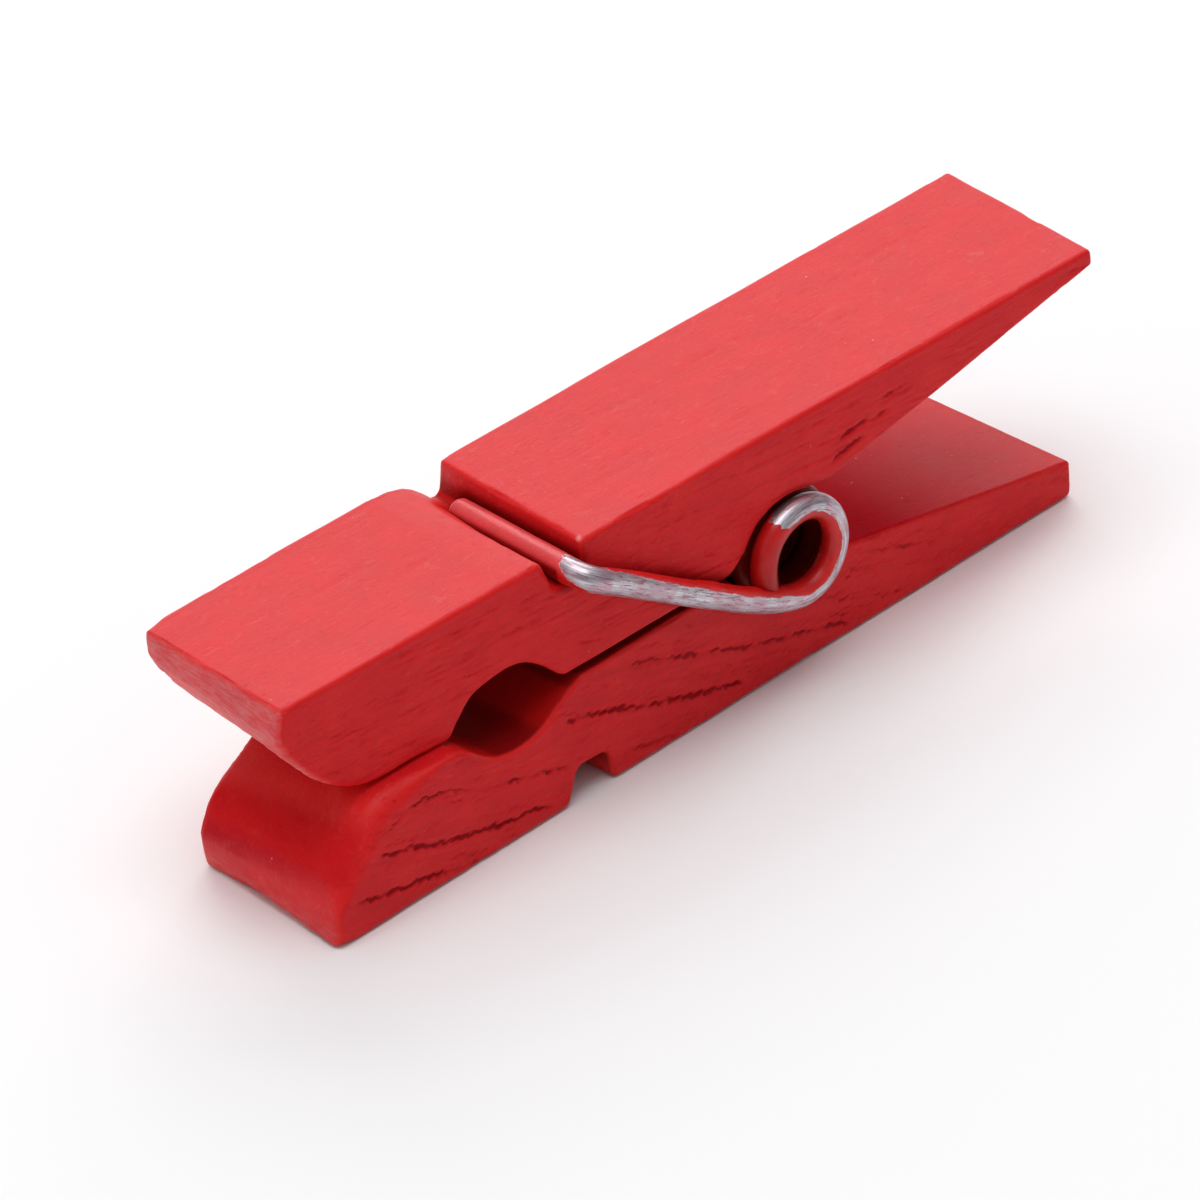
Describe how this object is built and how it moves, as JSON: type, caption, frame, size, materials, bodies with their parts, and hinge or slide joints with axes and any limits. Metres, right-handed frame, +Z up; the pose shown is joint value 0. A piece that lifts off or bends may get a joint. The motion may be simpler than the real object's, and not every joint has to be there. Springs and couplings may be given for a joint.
{
  "type": "clothespin",
  "caption": "Small wooden spring clothespin: two tapered levers with blunt jaws and a round line notch, held shut by a wire torsion spring.",
  "frame": {"origin": "on the lower lever's flat outer face, straight below the axis of the spring's coil and midway across the width", "axes": "+X from the jaws to the handles, +Y away from the side where the spring's upper arm shows, +Z up from the lower lever's outer face"},
  "size_m": [0.0356, 0.0094, 0.0107],
  "materials": {
    "painted_wood": "thin satin red paint over open-pored wood, the grain grooves showing on the side faces",
    "spring_wire": "dull bright zinc-grey wire with the lever's red paint left on its sheltered sides"
  },
  "bodies": {
    "lower_lever": {"lower_lever": "painted_wood"},
    "upper_lever": {"upper_lever": "painted_wood"},
    "spring": {"torsion_spring": "spring_wire"}
  },
  "joints": [
    {"name": "lever_pivot", "type": "hinge", "parent": "lower_lever", "child": "upper_lever", "pos_m": [0, 0, 0.00502], "axis": [0, 1, 0], "range_deg": [0, 32], "deforming": ["torsion_spring"]},
    {"name": "spring_turn", "type": "hinge", "parent": "lower_lever", "child": "spring", "pos_m": [0, 0, 0.00502], "axis": [0, 1, 0], "range_deg": [0, 16]}
  ],
  "couplings": [
    {"joint": "spring_turn", "follows": "lever_pivot", "ratio": 0.5}
  ]
}
